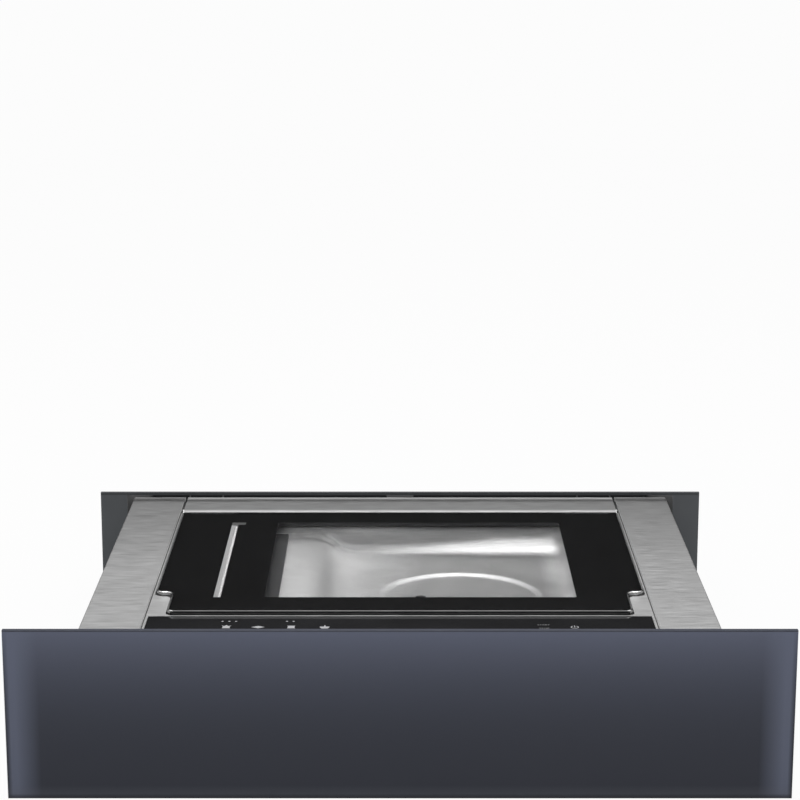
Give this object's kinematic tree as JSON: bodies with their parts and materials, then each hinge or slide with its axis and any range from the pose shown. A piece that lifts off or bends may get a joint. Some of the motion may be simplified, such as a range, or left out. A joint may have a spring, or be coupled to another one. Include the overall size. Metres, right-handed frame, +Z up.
{
  "type": "vacuum sealing drawer",
  "caption": "Built-in kitchen drawer that vacuum-packs food: steel housing, pull-out pan on telescopic runners, glass front, hinged glass lid over a drawn chamber with a rising seal bar.",
  "frame": {"origin": "middle of the front edge of the housing's underside, in the plane of its front flanges", "axes": "+X to the right seen from the front, +Y to the rear and the way the drawer closes, +Z up"},
  "size_m": [0.597, 0.85, 0.1348],
  "materials": {
    "housing_paint": "satin dark grey powder coat",
    "zinc_steel": "zinc-plated sheet",
    "ball_steel": "hardened and polished",
    "panel_glass": "satin, back-painted blue-grey",
    "control_glass": "back-printed black",
    "lid_glass": "clear, polished edges, black printed border",
    "stainless": "horizontally brushed",
    "black_plastic": "fine-grained",
    "carrier_plastic": "smooth heat-resistant",
    "bond_tape": "foam tape",
    "black_rubber": "matte",
    "white_silicone": "satin",
    "grey_silicone": "matte",
    "aluminium": "anodised",
    "heater_tape": "woven glass cover over the wire",
    "pump_cast": "as cast",
    "motor_paint": "gloss",
    "brass": "machined",
    "coil_black": "moulded",
    "core_steel": "varnished laminations",
    "circuit_board": "solder mask",
    "hose_rubber": "translucent silicone hose"
  },
  "bodies": {
    "housing": {"base_tray": "housing_paint", "side_plate_right": "housing_paint", "side_plate_left": "housing_paint", "housing_rivets": "zinc_steel", "top_bar": "housing_paint", "runner_fixed_right": "zinc_steel", "runner_fixed_left": "zinc_steel", "latch_body": "black_plastic"},
    "runner_mid_right": {"runner_middle_right": "zinc_steel", "ball_cage_right": "ball_steel"},
    "runner_mid_left": {"runner_middle_left": "zinc_steel", "ball_cage_left": "ball_steel"},
    "plunger": {"latch_plunger": "black_plastic"},
    "drawer": {"runner_inner_right": "zinc_steel", "runner_inner_left": "zinc_steel", "latch_striker": "zinc_steel", "front_glass": "panel_glass", "glass_bond": "bond_tape", "front_carrier": "housing_paint", "panel_spacers": "black_plastic", "panel_screws": "zinc_steel", "panel_buffers": "black_rubber", "drawer_pan": "zinc_steel", "side_rail_right": "stainless", "side_rail_left": "stainless", "crossbar_front": "zinc_steel", "crossbar_rear": "zinc_steel", "lid_surround": "stainless", "chamber_basin": "stainless", "suction_nipple": "brass", "seal_carrier": "carrier_plastic", "seal_lift_cylinders": "aluminium", "hinge_block_right": "zinc_steel", "hinge_block_left": "zinc_steel", "control_glass": "control_glass", "control_tray": "black_plastic", "control_board": "circuit_board", "pump_plate": "zinc_steel", "pump_mounts": "black_rubber", "pump_body": "pump_cast", "pump_motor": "motor_paint", "valve_block": "aluminium", "valve_solenoids": "coil_black", "chamber_hose": "hose_rubber", "pump_hose": "hose_rubber", "seal_transformer": "core_steel", "board_posts": "brass", "power_board": "circuit_board", "mains_gland": "black_plastic"},
    "sealing_bar": {"seal_bar": "aluminium", "heating_strip": "heater_tape", "seal_lift_rods": "zinc_steel"},
    "lid": {"lid_glass": "lid_glass", "lid_frame": "black_plastic", "lid_gasket": "grey_silicone", "counter_bar": "white_silicone", "counter_bar_clip": "grey_silicone", "hinge_cover": "stainless", "hinge_arms": "zinc_steel", "hinge_pins": "zinc_steel"}
  },
  "joints": [
    {"name": "drawer_slide", "type": "slide", "parent": "housing", "child": "drawer", "axis": [0, 1, 0], "range_m": [0, 0.4]},
    {"name": "runner_right_slide", "type": "slide", "parent": "housing", "child": "runner_mid_right", "axis": [0, 1, 0], "range_m": [0, 0.2]},
    {"name": "runner_left_slide", "type": "slide", "parent": "housing", "child": "runner_mid_left", "axis": [0, 1, 0], "range_m": [0, 0.2]},
    {"name": "lid_hinge", "type": "hinge", "parent": "drawer", "child": "lid", "pos_m": [0, -0.02, 0.1135], "axis": [-1, 0, 0], "range_deg": [0, 60]},
    {"name": "seal_bar_lift", "type": "slide", "parent": "drawer", "child": "sealing_bar", "axis": [0, 0, 1], "range_m": [0, 0.004]},
    {"name": "latch_push", "type": "slide", "parent": "housing", "child": "plunger", "axis": [0, 1, 0], "range_m": [0, 0.005], "stiffness_N_per_m": 400}
  ],
  "couplings": [
    {"joint": "runner_right_slide", "follows": "drawer_slide", "ratio": 0.5},
    {"joint": "runner_left_slide", "follows": "drawer_slide", "ratio": 0.5}
  ]
}
